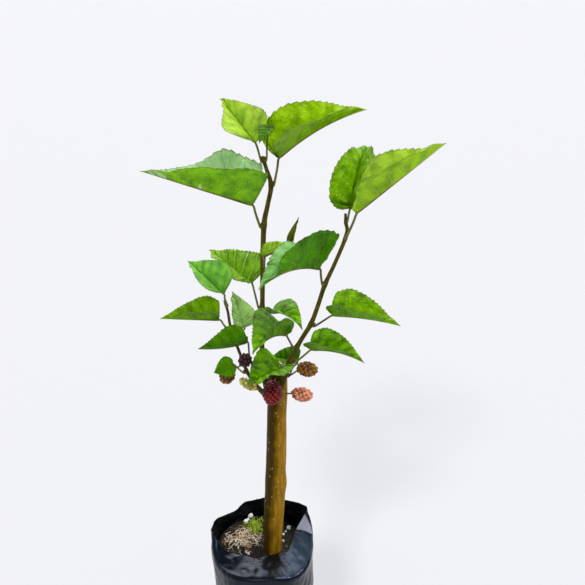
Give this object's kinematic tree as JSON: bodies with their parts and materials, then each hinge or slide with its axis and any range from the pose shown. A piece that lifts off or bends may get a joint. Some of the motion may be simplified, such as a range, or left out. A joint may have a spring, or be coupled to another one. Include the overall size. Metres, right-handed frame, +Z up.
{
  "type": "mulberry plant in a nursery bag",
  "caption": "Young mulberry plant with a woody stem, arching leafy shoots and ripening fruit, rooted in a round black polythene nursery bag of soil.",
  "frame": {"origin": "middle of the nursery bag's flat base, on the ground", "axes": "+Z up, -Y towards the side the plant is looked at from, +X to its right"},
  "size_m": [0.2334, 0.1441, 0.553],
  "materials": {
    "polythene_film": "glossy black polythene film",
    "potting_soil": "damp crumbly potting soil",
    "mulberry_bark": "smooth golden brown bark with small pale pores",
    "leaf_tall_left": "living leaf, satin, thin enough to let light through",
    "leaf_tall_rear": "living leaf, satin, thin enough to let light through",
    "leaf_tall_right": "living leaf, satin, thin enough to let light through",
    "leaf_tall_pale": "living leaf, satin, thin enough to let light through",
    "leaf_tall_round": "living leaf, satin, thin enough to let light through",
    "leaf_tall_veined": "living leaf, satin, thin enough to let light through",
    "leaf_tall_bud": "living leaf, satin, thin enough to let light through",
    "leaf_tall_young": "living leaf, satin, thin enough to let light through",
    "leaf_right_long": "living leaf, satin, thin enough to let light through",
    "leaf_right_cupped": "living leaf, satin, thin enough to let light through",
    "leaf_right_arched": "living leaf, satin, thin enough to let light through",
    "leaf_right_outer": "living leaf, satin, thin enough to let light through",
    "leaf_right_lower": "living leaf, satin, thin enough to let light through",
    "leaf_right_front": "living leaf, satin, thin enough to let light through",
    "leaf_foot_front": "living leaf, satin, thin enough to let light through",
    "leaf_foot_rear": "living leaf, satin, thin enough to let light through",
    "leaf_left_top": "living leaf, satin, thin enough to let light through",
    "leaf_left_outer": "living leaf, satin, thin enough to let light through",
    "leaf_left_lower": "living leaf, satin, thin enough to let light through",
    "leaf_left_veined": "living leaf, satin, thin enough to let light through",
    "leaf_left_small": "living leaf, satin, thin enough to let light through",
    "fruit_purple": "moist shiny fruit skin",
    "fruit_brown": "moist shiny fruit skin",
    "fruit_green": "moist shiny fruit skin",
    "fruit_red": "moist shiny fruit skin",
    "fruit_olive": "moist shiny fruit skin",
    "fruit_orange": "moist shiny fruit skin"
  },
  "bodies": {
    "root": {"nursery_bag": "polythene_film", "soil": "potting_soil", "woody_stem": "mulberry_bark", "leaf_tall_left": "leaf_tall_left", "leaf_tall_rear": "leaf_tall_rear", "leaf_tall_right": "leaf_tall_right", "leaf_tall_pale": "leaf_tall_pale", "leaf_tall_round": "leaf_tall_round", "leaf_tall_veined": "leaf_tall_veined", "leaf_tall_bud": "leaf_tall_bud", "leaf_tall_young": "leaf_tall_young", "leaf_right_long": "leaf_right_long", "leaf_right_cupped": "leaf_right_cupped", "leaf_right_arched": "leaf_right_arched", "leaf_right_outer": "leaf_right_outer", "leaf_right_lower": "leaf_right_lower", "leaf_right_front": "leaf_right_front", "leaf_foot_front": "leaf_foot_front", "leaf_foot_rear": "leaf_foot_rear", "leaf_left_top": "leaf_left_top", "leaf_left_outer": "leaf_left_outer", "leaf_left_lower": "leaf_left_lower", "leaf_left_veined": "leaf_left_veined", "leaf_left_small": "leaf_left_small", "fruit_purple": "fruit_purple", "fruit_brown": "fruit_brown", "fruit_green": "fruit_green", "fruit_red": "fruit_red", "fruit_olive": "fruit_olive", "fruit_orange": "fruit_orange"}
  },
  "joints": []
}
